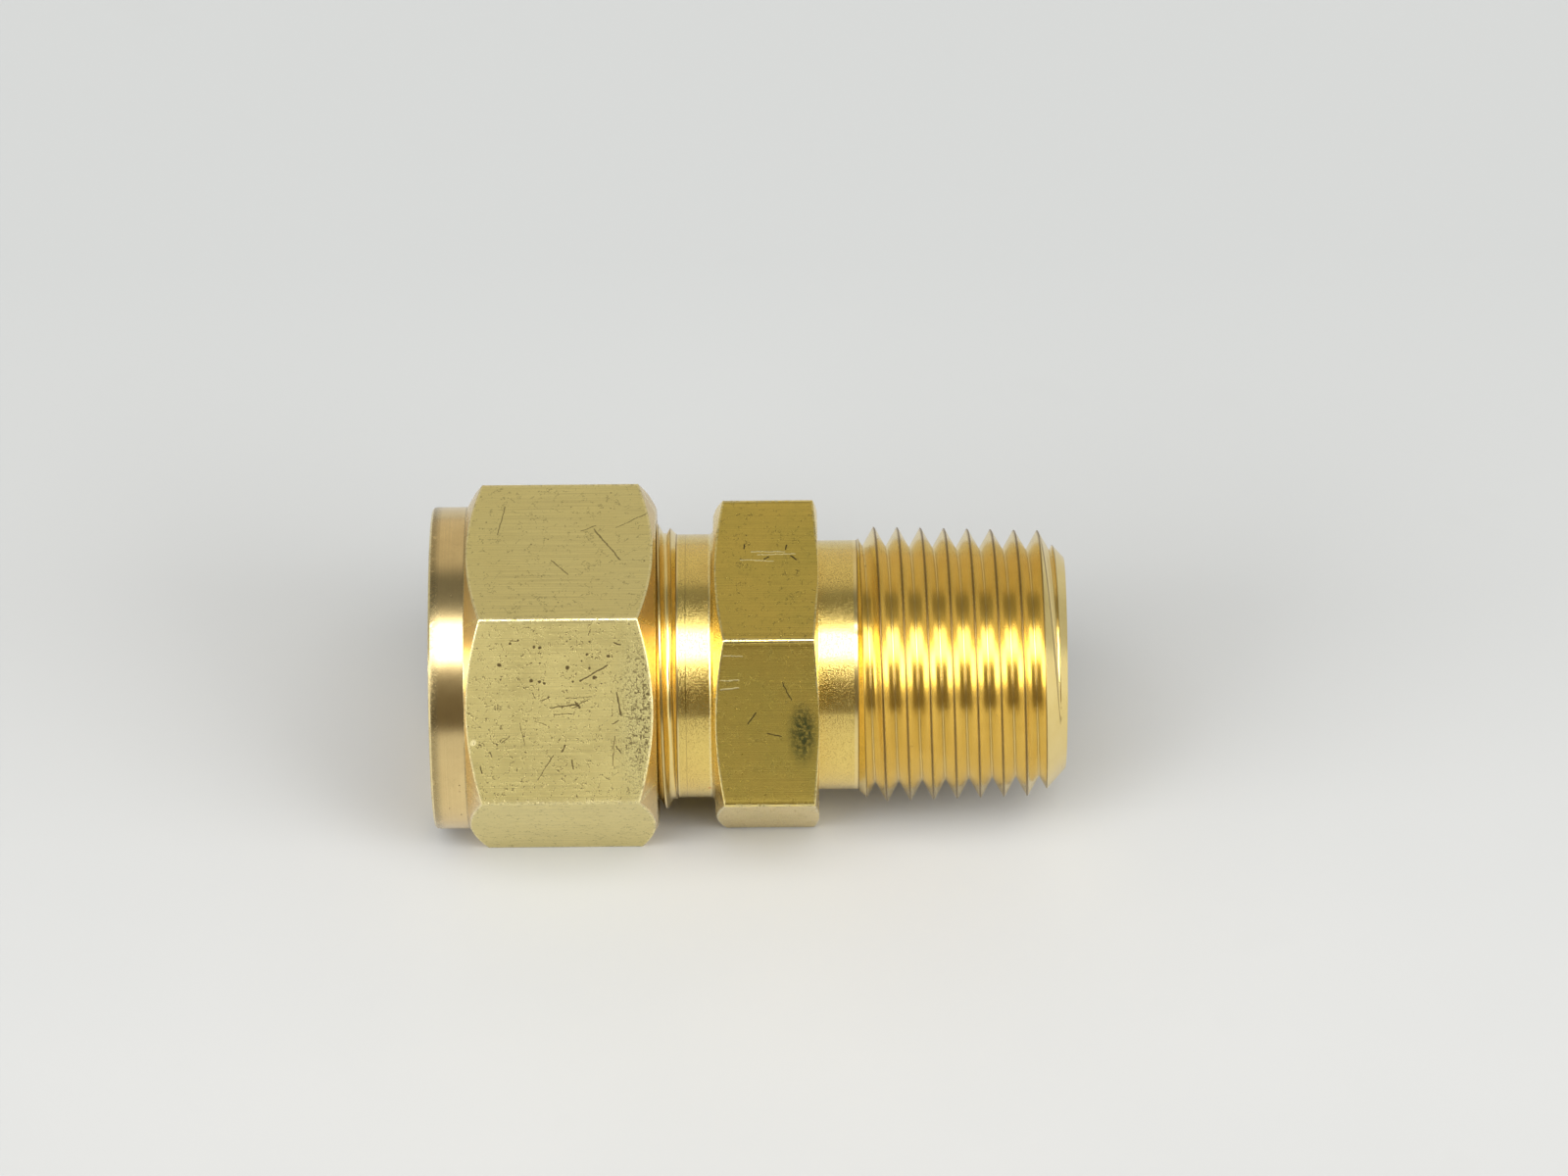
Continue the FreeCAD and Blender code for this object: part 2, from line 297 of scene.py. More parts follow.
def lathe_mesh(name, rows, theta, hexagon=None):
    """Closed ring-shaped mesh from rows of a closed profile loop, one vertex per row and column."""
    n_rows, n_cols = len(rows), len(theta)
    x = np.stack([r[0] for r in rows])
    r = np.stack([r[1] for r in rows])
    a = np.radians(theta)[None, :]
    coords = np.stack([x, r * np.cos(a), r * np.sin(a)], axis=-1) * MM
    step = np.hypot(np.diff(x, axis=0, append=x[:1]), np.diff(r, axis=0, append=r[:1]))
    along_profile = np.cumsum(step, axis=0) - step
    faces, face_slots, uvs = [], [], []
    flat_slot = SLOTS.index("flat")
    if hexagon is not None:
        normal = np.floor((theta[:-1] + 1e-6 - hexagon["turn"]) / 60.0) * 60.0 + 30.0 + hexagon["turn"]
    for i in range(n_rows):
        j = (i + 1) % n_rows
        slot = SLOTS.index(rows[i][2])
        for c in range(n_cols - 1):
            faces.append((i * n_cols + c, i * n_cols + c + 1, j * n_cols + c + 1, j * n_cols + c))
            face_slots.append(slot)
            corners = ((i, c), (i, c + 1), (j, c + 1), (j, c))
            if slot == flat_slot:
                for row, col in corners:
                    t = r[row, col] * math.sin(math.radians(theta[col] - normal[c]))
                    uvs.append((x[row, col], t))
            else:
                for row, col in corners:
                    v = along_profile[row, col] if row == i else along_profile[i, col] + step[i, col]
                    uvs.append((math.radians(theta[col]) * 10.0, v))
    mesh = bpy.data.meshes.new(name)
    mesh.from_pydata(coords.reshape(-1, 3).tolist(), [], faces)
    mesh.polygons.foreach_set("material_index", face_slots)
    layer = mesh.uv_layers.new(name="lay")
    layer.data.foreach_set("uv", np.array(uvs, dtype=np.float32).ravel())
    edge = np.array([np.full(n_cols, row[3]) for row in rows])
    # Hex corners count as edges too, so they also get the painted glint and the edge darkening of the brass
    # material.
    if hexagon is not None:
        corner = np.abs((theta - hexagon["turn"] + 30.0) % 60.0 - 30.0)
        at_corner = np.clip(1.0 - (corner - 0.6) / 0.25, 0.0, 1.0)[None, :]
        on_hex = np.array([row[2] in ("flat", "chamfer") for row in rows])[:, None]
        edge = np.where(on_hex, np.maximum(edge, at_corner), edge)
    attribute = mesh.attributes.new("edge", "FLOAT", "POINT")
    attribute.data.foreach_set("value", edge.astype(np.float32).ravel())
    bm = bmesh.new()
    bm.from_mesh(mesh)
    bmesh.ops.remove_doubles(bm, verts=bm.verts, dist=MERGE_DISTANCE)
    bmesh.ops.dissolve_degenerate(bm, edges=bm.edges, dist=DEGENERATE_LENGTH)
    bmesh.ops.recalc_face_normals(bm, faces=bm.faces)
    for face in bm.faces:
        face.smooth = True
    sharp = math.radians(SHARP_EDGE)
    crease = bm.verts.layers.float["edge"]
    for e in bm.edges:
        in_root = max(v[crease] for v in e.verts) < -0.5
        if len(e.link_faces) == 2 and e.calc_face_angle(0.0) > sharp and not in_root:
            e.smooth = False
    open_edges = sum(1 for e in bm.edges if len(e.link_faces) != 2)
    print("MESH", name, "faces", len(bm.faces), "open or branching edges", open_edges)
    bm.to_mesh(mesh)
    bm.free()
    obj = bpy.data.objects.new(name, mesh)
    bpy.context.collection.objects.link(obj)
    return obj


def random_nicks(seed, turns, count, depth):
    """Small dents in the crests of a thread, as a function of angle and turn."""
    rng = np.random.RandomState(seed)
    dents = [
        (rng.randint(0, turns), rng.uniform(0.0, 360.0), rng.uniform(0.8, 2.4),
         depth * rng.uniform(0.25, 1.0))
        for _ in range(count)
    ]

    def nicks(theta, k):
        phi = theta + 360.0 * k
        total = np.zeros_like(theta)
        for turn, angle, width, amount in dents:
            total += amount * np.exp(-((phi - angle - 360.0 * turn) / width) ** 2)
        return total

    return nicks


def tan_degrees(angle):
    return math.tan(math.radians(angle))


def constant_root(radius):
    """Root radius of a straight thread, for every place on the groove."""
    return lambda centre, phi: np.full_like(centre, radius)


def pipe_crest_radius(x):
    return PIPE_END_CREST_R + (PIPE_END_X - x) * PIPE_TAPER


def pipe_root_radius(x, phi):
    """Root radius of the pipe thread, which rises out of the metal beyond the last whole turn."""
    radius = PIPE_END_ROOT_R + (PIPE_END_X - x) * PIPE_TAPER
    fraction = np.clip((RUNOUT_END - phi) / 180.0, 0.0, 1.4)
    return radius + RUNOUT_LIFT * fraction ** 2


def build_body():
    theta = hex_columns(BODY_HEX, BODY_HEX["turn"])
    hex_r = hex_radius(BODY_HEX, theta)
    left, right = BODY_HEX_X
    left_reach = (hex_r - BODY_HEX_LEFT_FACE_R) * tan_degrees(BODY_HEX_LEFT_CHAMFER)
    right_reach = (hex_r - BODY_HEX_RIGHT_FACE_R) * tan_degrees(BODY_HEX_RIGHT_CHAMFER)
    tube_thread = thread_rows(
        theta, (MOUTH_X, BODY_THREAD_END_X), [
            (MOUTH_X, BODY_THREAD_START_R),
            (MOUTH_X + BODY_MAJOR_R - BODY_THREAD_START_R, BODY_MAJOR_R),
            (BODY_SHOULDER_X - (BODY_MAJOR_R - NECK_LEFT_R), BODY_MAJOR_R),
            (BODY_SHOULDER_X, NECK_LEFT_R), (BODY_THREAD_END_X, NECK_LEFT_R),
        ],
        NUT_CREST_X + NUT_PITCH / 2.0, NUT_PITCH, range(-9, 2), constant_root(BODY_ROOT_R),
        BODY_ROOT_HALF_FLAT, 1)
    middle = rounded_path([
        (BODY_THREAD_END_X, NECK_LEFT_R, 0.0, "turned"),
        (left - NECK_BLEND, NECK_LEFT_R, 0.09, "turned"),
        (left, NECK_LEFT_R + NECK_BLEND, 0.06, "face"),
        (left, BODY_HEX_LEFT_FACE_R, 0.05, "chamfer"),
        (left + left_reach, hex_r, 0.09, "flat"),
        (right - right_reach, hex_r, 0.09, "chamfer"),
        (right, BODY_HEX_RIGHT_FACE_R, 0.03, "face"),
        (right, NECK_RIGHT_R, 0.03, "turned"),
        (PIPE_START_X, NECK_RIGHT_R, 0.0, "turned"),
    ], theta)
    bevel = (pipe_crest_radius(PIPE_BAND_X) - NECK_RIGHT_R) / (1.0 + PIPE_TAPER)
    chamfer_x = PIPE_END_X - (PIPE_END_CREST_R - PIPE_END_FACE_R) / (PIPE_CHAMFER_SLOPE - PIPE_TAPER)
    pipe_thread = thread_rows(
        theta, (PIPE_START_X, PIPE_END_X), [
            (PIPE_START_X, NECK_RIGHT_R), (PIPE_BAND_X, NECK_RIGHT_R),
            (PIPE_BAND_X + bevel, NECK_RIGHT_R + bevel),
            (chamfer_x, pipe_crest_radius(chamfer_x)), (PIPE_END_X, PIPE_END_FACE_R),
        ],
        PIPE_CREST_X - PIPE_PITCH / 2.0, PIPE_PITCH, range(-2, 9), pipe_root_radius,
        PIPE_ROOT_HALF_FLAT, 1, nicks=random_nicks(seed=7, turns=11, count=90, depth=0.05))
    inside = rounded_path([
        (PIPE_END_X, PIPE_END_FACE_R, 0.0, "face"), (PIPE_END_X, PASSAGE_R, 0.06, "bore"),
        (0.0, PASSAGE_R, 0.05, "bore"), (0.0, SOCKET_R, 0.04, "bore"),
        (SEAT_X, SOCKET_R, 0.1, "bore"), (MOUTH_X, MOUTH_R, 0.05, "face"),
        (MOUTH_X, BODY_THREAD_START_R, 0.0, "face"),
    ], theta)
    rows = tube_thread[:-1] + subdivided(middle, OUTSIDE_ROW)[:-1]
    rows += pipe_thread[:-1] + subdivided(inside, BODY_BORE_ROW)[:-1]
    return lathe_mesh("body_visual", rows, theta, BODY_HEX)


def build_nut():
    theta = hex_columns(NUT_HEX, 0.0)
    hex_r = hex_radius(NUT_HEX, theta)
    left, right = NUT_X
    slope = tan_degrees(NUT_CHAMFER)
    hole_chamfer_x = left + NUT_HOLE_CHAMFER
    outside = rounded_path([
        (hole_chamfer_x, NUT_HOLE_R, 0.0, "face"),
        (left, NUT_HOLE_R + NUT_HOLE_CHAMFER, 0.05, "face"),
        (left, COLLAR_R, 0.42, "turned"),
        (COLLAR_END_X, COLLAR_R, 0.05, "chamfer"),
        (COLLAR_END_X + (hex_r - COLLAR_R) * slope, hex_r, 0.09, "flat"),
        (right - (hex_r - NUT_FACE_R) * slope, hex_r, 0.09, "chamfer"),
        (right, NUT_FACE_R, 0.08, "face"),
        (right, NUT_ENTRY_R, 0.0, "face"),
    ], theta)
    flank_gap = THREAD_FLANK_GAP / math.cos(math.radians(30.0))
    half_flat = BODY_CREST_HALF_FLAT + flank_gap - (NUT_MAJOR_R - BODY_MAJOR_R) / COT30
    relief_left, relief_right = NUT_RELIEF_X
    thread = thread_rows(
        theta, (relief_right, right), [
            (relief_right, NUT_MINOR_R), (right - (NUT_ENTRY_R - NUT_MINOR_R), NUT_MINOR_R),
            (right, NUT_ENTRY_R),
        ],
        NUT_CREST_X, NUT_PITCH, range(-8, 2), constant_root(NUT_MAJOR_R), half_flat, -1)
    inside = rounded_path([
        (relief_right, NUT_RELIEF_R, 0.0, "bore"), (relief_left, NUT_RELIEF_R, 0.05, "bore"),
        (relief_left, NUT_CLEARANCE_R, 0.05, "bore"),
        (NUT_SEAT_X + NUT_CLEARANCE_R - NUT_HOLE_R, NUT_CLEARANCE_R, 0.05, "bore"),
        (NUT_SEAT_X, NUT_HOLE_R, 0.05, "bore"), (hole_chamfer_x, NUT_HOLE_R, 0.0, "bore"),
    ], theta)
    rows = subdivided(outside, OUTSIDE_ROW)[:-1] + thread[::-1] + subdivided(inside, NUT_BORE_ROW)[:-1]
    return lathe_mesh("nut_visual", rows, theta, NUT_HEX)


def build_ring(name, points):
    theta = np.linspace(0.0, 360.0, RING_COLUMNS)
    loop = rounded_path(points + points[:1], theta)
    return lathe_mesh(name, subdivided(loop, OUTSIDE_ROW)[:-1], theta)


def build_front_ferrule():
    """A ring whose 20 degree cone faces the body's seat and whose rear holds the back ferrule's nose."""
    slope = tan_degrees(20.0)
    nose_r = MOUTH_R - (FRONT_NOSE_X - MOUTH_X) * slope - FERRULE_GAP / math.cos(math.radians(20.0))
    cone_x = FRONT_NOSE_X - (FRONT_OUTER_R - nose_r) / slope
    return build_ring("front_ferrule_visual", [
        (FRONT_NOSE_X, SOCKET_R, 0.02, "face"), (FRONT_NOSE_X, nose_r, 0.03, "turned"),
        (cone_x, FRONT_OUTER_R, 0.08, "turned"), (FRONT_REAR_X, FRONT_OUTER_R, 0.05, "face"),
        (FRONT_REAR_X, RECESS_MOUTH_R, 0.04, "bore"),
        (FRONT_REAR_X + RECESS_MOUTH_R - SOCKET_R, SOCKET_R, 0.04, "bore"),
    ])


def build_back_ferrule():
    """A ring between the front ferrule's recess and the nut's seat, both at 45 degrees."""
    gap = FERRULE_GAP * math.sqrt(2.0)

    def recess_r(x):
        return RECESS_MOUTH_R + FRONT_REAR_X - x - gap

    def seat_x(r):
        return NUT_SEAT_X + r - NUT_HOLE_R + gap

    flange_x = FRONT_REAR_X - FERRULE_GAP
    return build_ring("back_ferrule_visual", [
        (BACK_NOSE_X, SOCKET_R, 0.02, "face"), (BACK_NOSE_X, recess_r(BACK_NOSE_X), 0.02, "turned"),
        (flange_x, recess_r(flange_x), 0.03, "face"), (flange_x, BACK_OUTER_R, 0.05, "turned"),
        (seat_x(BACK_OUTER_R), BACK_OUTER_R, 0.05, "turned"),
        (seat_x(BACK_REAR_R), BACK_REAR_R, 0.03, "face"), (seat_x(BACK_REAR_R), SOCKET_R, 0.03, "bore"),
    ])


body = build_body()
nut = build_nut()
front_ferrule = build_front_ferrule()
back_ferrule = build_back_ferrule()


# ---------------------------------------------------------------- materials

class Shader:
    """Short names for building a node tree."""

    def __init__(self, name):
        self.material = bpy.data.materials.new(name)
        self.material.use_nodes = True
        self.tree = self.material.node_tree
        self.tree.nodes.clear()
        self.output = self.node("ShaderNodeOutputMaterial")

    def node(self, kind, **settings):
        n = self.tree.nodes.new(kind)
        for key, value in settings.items():
            setattr(n, key, value)
        return n

    def put(self, socket, value):
        if isinstance(value, bpy.types.NodeSocket):
            self.tree.links.new(value, socket)
        else:
            socket.default_value = value

    def math(self, operation, a, b=0.0, clamp=False):
        n = self.node("ShaderNodeMath", operation=operation, use_clamp=clamp)
        self.put(n.inputs[0], a)
        self.put(n.inputs[1], b)
        return n.outputs[0]

    def vmath(self, operation, a, b=None, scale=None):
        n = self.node("ShaderNodeVectorMath", operation=operation)
        self.put(n.inputs[0], a)
        if b is not None:
            self.put(n.inputs[1], b)
        if scale is not None:
            self.put(n.inputs["Scale"], scale)
        return n.outputs["Value" if operation in ("DOT_PRODUCT", "DISTANCE") else "Vector"]

    def remap(self, value, low, high, new_low=0.0, new_high=1.0, smooth=False):
        n = self.node("ShaderNodeMapRange", clamp=not smooth)
        n.interpolation_type = "SMOOTHSTEP" if smooth else "LINEAR"
        for socket, v in zip(n.inputs[:5], (value, low, high, new_low, new_high)):
            self.put(socket, v)
        return n.outputs[0]

    def mix(self, factor, a, b):
        n = self.node("ShaderNodeMix", data_type="RGBA")
        self.put(n.inputs["Factor"], factor)
        self.put(n.inputs[6], a)
        self.put(n.inputs[7], b)
        return n.outputs[2]

    def vector(self, x, y, z=0.0):
        n = self.node("ShaderNodeCombineXYZ")
        for socket, v in zip(n.inputs, (x, y, z)):
            self.put(socket, v)
        return n.outputs[0]

    def noise(self, vector, scale, detail=3.0, roughness=0.6, output="Fac"):
        n = self.node("ShaderNodeTexNoise")
        self.put(n.inputs["Vector"], vector)
        n.inputs["Scale"].default_value = scale
        n.inputs["Detail"].default_value = detail
        n.inputs["Roughness"].default_value = roughness
        return n.outputs[output]

    def cells(self, vector, scale):
        n = self.node("ShaderNodeTexVoronoi")
        self.put(n.inputs["Vector"], vector)
        n.inputs["Scale"].default_value = scale
        return n


class Surface:
    """What a set of marks needs to know about the place being shaded."""

    def __init__(self, s, mm, along, across):
        self.s = s
        self.mm = mm
        wobble = s.vmath("SUBTRACT", s.noise(mm, 1.6, 3.0, 0.7, "Color"), (0.5, 0.5, 0.5))
        wobble = s.vmath("MULTIPLY", wobble, (0.28, 0.28, 0.0))
        self.at = s.vmath("ADD", s.vector(along, across), wobble)

    def facing(self, angle, apothem):
        """1 on the flat whose normal lies at this angle about X, 0 elsewhere."""
        a = math.radians(angle)
        height = self.s.vmath("DOT_PRODUCT", self.mm, (0.0, math.cos(a), math.sin(a)))
        return self.s.math("GREATER_THAN", height, apothem - 0.1)

    def strokes(self, lines, result=0.0):
        """Scratches from (x, t) to (x, t) with a half width each, in mm, laid over a mask."""
        for x0, t0, x1, t1, half in lines:
            run = Vector((x1 - x0, t1 - t0, 0.0))
            offset = self.s.vmath("SUBTRACT", self.at, (x0, t0, 0.0))
            share = self.s.vmath("DOT_PRODUCT", offset, tuple(run / run.length_squared))
            share = self.s.math("MINIMUM", self.s.math("MAXIMUM", share, 0.0), 1.0)
            foot = self.s.vmath("SCALE", tuple(run), scale=share)
            gap = self.s.vmath("DISTANCE", offset, foot)
            result = self.s.remap(gap, half * 1.3, half * 2.5, 1.0, result, smooth=True)
        return result

    def pits(self, points, result=0.0):
        """Round pits at (x, t) with a radius each, in mm, laid over a mask."""
        for x, t, r in points:
            gap = self.s.vmath("DISTANCE", self.at, (x, t, 0.0))
            result = self.s.remap(gap, r * 1.1, r * 1.8, 1.0, result, smooth=True)
        return result

    def patch(self, centre, size, softness=0.4):
        """Soft ellipse at (x, t)."""
        offset = self.s.vmath("SUBTRACT", self.at, (centre[0], centre[1], 0.0))
        scaled = self.s.vmath("MULTIPLY", offset, (1.0 / size[0], 1.0 / size[1], 0.0))
        distance = self.s.vmath("DISTANCE", scaled, (0.0, 0.0, 0.0))
        return self.s.remap(distance, 1.0 - softness, 1.0 + softness, 1.0, 0.0, smooth=True)


def crackle(s, mm, scale, thickness, keep):
    """Broken, wandering hairlines."""
    value = s.noise(mm, scale, 4.0, 0.62)
    ridge = s.math("ABSOLUTE", s.math("SUBTRACT", value, 0.5))
    line = s.remap(ridge, thickness * 0.4, thickness, 1.0, 0.0)
    return s.math("MULTIPLY", line, s.remap(s.noise(mm, scale * 2.3, 2.0), keep, keep + 0.06))


def brass(name, colour, tarnish, dirt, roughness, lay, lay_height, anisotropy, pits,
          hairlines=0.3, crease=0.3, grime=0.2, crease_cover=0.45, rubbed_glint=0.5, marks=None):
    """Machined brass.

    lay holds the spatial frequencies per mm along and across the tool marks. pits is the share of the
    cells that hold a pit. crease is how dark an edge is made, crease_cover how much of the edge is
    darkened, and wear how bright the edges are painted: partly rubbed metal, partly a painted glint.
    """
    s = Shader(name)
    mm = s.vmath("SCALE", s.node("ShaderNodeTexCoord").outputs["Object"], scale=1.0 / MM)
    uv = s.node("ShaderNodeSeparateXYZ")
    s.put(uv.inputs[0], s.node("ShaderNodeUVMap", uv_map="lay").outputs[0])
    along, across = uv.outputs[0], uv.outputs[1]

    stretched = s.vector(s.math("MULTIPLY", along, lay[0]), s.math("MULTIPLY", across, lay[1]))
    fine = s.noise(stretched, 1.0, 3.0, 0.7)
    cloud = s.noise(mm, 0.22, 4.0, 0.65)
    mottle = s.noise(mm, 1.3, 4.0, 0.7)
    grit = s.noise(mm, 9.0, 2.0, 0.6)

    pit_cells = s.cells(mm, 2.3)
    chosen = s.node("ShaderNodeSeparateColor")
    s.put(chosen.inputs[0], pit_cells.outputs["Color"])
    pit = s.remap(pit_cells.outputs["Distance"], 0.09, 0.22, 1.0, 0.0)
    pit = s.math("MULTIPLY", pit, s.remap(chosen.outputs[0], 1.0 - pits, 1.01 - pits))
    hairline = s.math("MULTIPLY", crackle(s, mm, 0.8, 0.016, 0.50), hairlines)
    edge = s.node("ShaderNodeAttribute", attribute_name="edge").outputs["Fac"]
    rim = s.math("MAXIMUM", edge, 0.0)
    # Painted glint along the edges: partly rubbed metal, partly a painted highlight.
    rubbed_glint_mask = s.math("MULTIPLY", rim, s.remap(s.noise(mm, 5.0, 3.0, 0.7), 0.36, 0.5))
    dull = s.math("MULTIPLY", rim, s.remap(mottle, crease_cover + 0.05, crease_cover - 0.05))
    dark = s.math("MAXIMUM", s.math("MULTIPLY", pit, 0.85), hairline)
    dark = s.math("MAXIMUM", dark, s.math("MULTIPLY", dull, crease))

    tint = s.mix(s.remap(cloud, 0.4, 0.66, 0.0, 0.85), colour, tarnish)
    tint = s.mix(s.math("MULTIPLY", s.remap(fine, 0.3, 0.6, 0.5, 0.0), lay_height, clamp=True), tint, dirt)
    tint = s.mix(s.math("MULTIPLY", s.remap(mottle, 0.55, 0.72), grime, clamp=True), tint, dirt)
    tint = s.mix(s.math("MULTIPLY", s.remap(grit, 0.52, 0.68), grime, clamp=True), tint, dirt)

    rough = s.remap(cloud, 0.35, 0.65, roughness * 0.95, roughness * 1.06)
    rough = s.math("ADD", rough, s.remap(mottle, 0.3, 0.7, -0.01, 0.015))
    rough = s.math("SUBTRACT", rough, s.math("MULTIPLY", rubbed_glint_mask, 0.08))
    height = s.math("MULTIPLY", fine, lay_height)
    height = s.math("ADD", height, s.math("MULTIPLY", grit, 0.14))

    if marks is not None:
        more_dark, bright, stain, stain_colour = marks(Surface(s, mm, along, across))
        dark = s.math("MAXIMUM", dark, more_dark)
        tint = s.mix(stain, tint, stain_colour)
        tint = s.mix(bright, tint, BRIGHT)
        height = s.math("SUBTRACT", height, s.math("MULTIPLY", bright, 0.8))
    tint = s.mix(dark, tint, dirt)
    # Edges are painted towards bright brass here, partly as rubbed metal and partly as a painted glint.
    tint = s.mix(s.math("MULTIPLY", rubbed_glint_mask, rubbed_glint), tint, BRIGHT)
    rough = s.math("ADD", rough, s.math("MULTIPLY", dark, 0.2))
    height = s.math("SUBTRACT", height, s.math("MULTIPLY", dark, 1.2))

    bump = s.node("ShaderNodeBump")
    bump.inputs["Strength"].default_value = 1.0
    bump.inputs["Distance"].default_value = 0.006 * MM
    s.put(bump.inputs["Height"], height)
    tangent = s.node("ShaderNodeTangent", direction_type="UV_MAP", uv_map="lay")
    shader = s.node("ShaderNodeBsdfPrincipled")
    s.put(shader.inputs["Base Color"], tint)
    shader.inputs["Metallic"].default_value = 1.0
    s.put(shader.inputs["Roughness"], s.math("MAXIMUM", rough, 0.05))
    shader.inputs["Anisotropic"].default_value = anisotropy
    shader.inputs["Anisotropic Rotation"].default_value = 0.25
    s.put(shader.inputs["Tangent"], tangent.outputs[0])
    s.put(shader.inputs["Normal"], bump.outputs[0])
    s.put(s.output.inputs["Surface"], shader.outputs[0])
    return s.material


# Marks of use. Places are (x, t) in mm on a flat, t running round the axis from the middle of the flat.

def skewed(rng, low, high):
    """A value between low and high, more often near low."""
    return low + (high - low) * rng.uniform() ** 3


def scattered_pits(seed, count, x_range, t_range, radii):
    """Pits as (x, t, radius), spread over a part of a flat."""
    rng = np.random.RandomState(seed)
    return [(rng.uniform(*x_range), rng.uniform(*t_range), skewed(rng, *radii)) for _ in range(count)]


def scattered_scratches(seed, count, x_range, t_range, lengths, half_widths, steepest=90.0):
    """Scratches as two ends and a half width, (x, t, x, t, half), within an angle to X in degrees."""
    rng = np.random.RandomState(seed)
    scratches = []
    for _ in range(count):
        x, t = rng.uniform(*x_range), rng.uniform(*t_range)
        angle = math.radians(rng.uniform(-steepest, steepest))
        length, half = skewed(rng, *lengths), skewed(rng, *half_widths)
        scratches.append((x, t, x + length * math.cos(angle), t + length * math.sin(angle), half))
    return scratches


NUT_FRONT_PITS = scattered_pits(11, 30, (-19.0, -10.2), (-5.8, -1.6), (0.05, 0.135))
NUT_FRONT_SCRATCHES = scattered_scratches(12, 24, (-20.5, -9.5), (-6.3, 5.5), (0.5, 2.6), (0.02, 0.07))
NUT_FRONT_NICKS = [(-7.3, -1.0, 0.16), (-21.0, 2.4, 0.16)]
NUT_TOP_SCRATCHES = scattered_scratches(13, 5, (-19.5, -9.5), (-4.5, 4.5), (1.2, 4.2), (0.02, 0.03))
BODY_TOP_BRIGHT = scattered_scratches(14, 3, (-2.0, 1.0), (-2.4, -0.6), (2.5, 4.8), (0.022, 0.03), 5.0)
BODY_TOP_DARK = scattered_scratches(15, 4, (-1.3, 3.8), (-3.3, 4.0), (0.4, 0.7), (0.03, 0.04))
BODY_FRONT_BRIGHT = scattered_scratches(16, 3, (-2.2, -1.5), (-6.0, -1.4), (1.4, 4.3), (0.022, 0.035), 8.0)
BODY_FRONT_DARK = scattered_scratches(17, 3, (-1.2, 2.9), (-3.8, 3.4), (1.1, 1.8), (0.03, 0.04))
NUT_APOTHEM = NUT_HEX["flats"] / 2.0
BODY_APOTHEM = BODY_HEX["flats"] / 2.0


def nut_flat_marks(on):
    s = on.s
    front, top = on.facing(150.0, NUT_APOTHEM), on.facing(90.0, NUT_APOTHEM)
    dents = s.math("MULTIPLY", on.strokes(NUT_FRONT_SCRATCHES, on.pits(NUT_FRONT_PITS)), front)
    lines = s.math("MULTIPLY", on.strokes(NUT_TOP_SCRATCHES), top)
    band = s.math("MULTIPLY", on.patch((-8.1, 0.3), (1.5, 6.6), 0.7), front)
    speckle = s.remap(s.noise(on.mm, 5.0, 4.0, 0.75), 0.47, 0.56)
    dark = s.math("MAXIMUM", dents, s.math("MULTIPLY", lines, 0.8))
    dark = s.math("MAXIMUM", dark, s.math("MULTIPLY", s.math("MULTIPLY", band, speckle), 0.95))
    dark = s.math("MAXIMUM", dark, s.math("MULTIPLY", crackle(s, on.mm, 1.15, 0.02, 0.45), front))
    bright = s.math("MULTIPLY", on.pits(NUT_FRONT_NICKS), front)
    return dark, bright, s.math("MULTIPLY", band, 0.35), (0.42, 0.40, 0.20, 1.0)


def body_flat_marks(on):
    s = on.s
    front = on.facing(150.0 + BODY_HEX["turn"], BODY_APOTHEM)
    top = on.facing(90.0 + BODY_HEX["turn"], BODY_APOTHEM)
    bright = s.math("MAXIMUM", s.math("MULTIPLY", on.strokes(BODY_FRONT_BRIGHT), front),
                    s.math("MULTIPLY", on.strokes(BODY_TOP_BRIGHT), top))
    dark = s.math("MAXIMUM", s.math("MULTIPLY", on.strokes(BODY_FRONT_DARK), front),
                  s.math("MULTIPLY", on.strokes(BODY_TOP_DARK), top))
    stain = s.math("MULTIPLY", on.patch((4.2, 0.8), (0.9, 2.1), 0.6), front)
    stain = s.math("MULTIPLY", stain, s.remap(s.noise(on.mm, 3.0, 4.0, 0.7), 0.4, 0.55, 0.35, 1.0))
    return dark, bright, stain, (0.12, 0.13, 0.045, 1.0)


def neck_marks(on):
    """A faint tool line, a rust-coloured spot and fine grain on the necks."""
    s = on.s
    x = s.node("ShaderNodeSeparateXYZ")
    s.put(x.inputs[0], on.mm)
    line = s.remap(s.math("ABSOLUTE", s.math("SUBTRACT", x.outputs[0], -4.74)), 0.02, 0.05, 0.35, 0.0)
    grain = s.remap(s.noise(on.mm, 14.0, 2.0, 0.7), 0.5, 0.64, 0.0, 0.55)
    spot = s.remap(s.vmath("DISTANCE", on.mm, (-2.97, -9.5, -3.79)), 0.10, 0.22, 0.9, 0.0)
    return s.math("MAXIMUM", line, grain), s.math("MULTIPLY", line, 0.1), spot, (0.75, 0.30, 0.05, 1.0)


NUT_FLAT = (0.75, 0.64, 0.26, 1.0)
NUT_FLAT_DULL = (0.70, 0.60, 0.25, 1.0)
NUT_TURNED = (0.79, 0.60, 0.28, 1.0)
NUT_TURNED_DULL = (0.70, 0.52, 0.24, 1.0)
BODY_FLAT = (0.84, 0.62, 0.135, 1.0)
BODY_FLAT_DULL = (0.72, 0.56, 0.12, 1.0)
BODY_TURNED = (0.92, 0.70, 0.21, 1.0)
BODY_TURNED_DULL = (0.86, 0.63, 0.19, 1.0)
THREAD = (0.87, 0.69, 0.29, 1.0)
THREAD_DULL = (0.81, 0.62, 0.23, 1.0)
# Bright clean brass, used for scratches and nicks and for the painted glint along edges.
BRIGHT = (1.0, 0.88, 0.47, 1.0)
DIRT = (0.09, 0.065, 0.025, 1.0)
THREAD_DIRT = (0.14, 0.08, 0.025, 1.0)

NUT_TURNED_TONES = (NUT_TURNED, NUT_TURNED_DULL, DIRT)
BODY_TURNED_TONES = (BODY_TURNED, BODY_TURNED_DULL, DIRT)

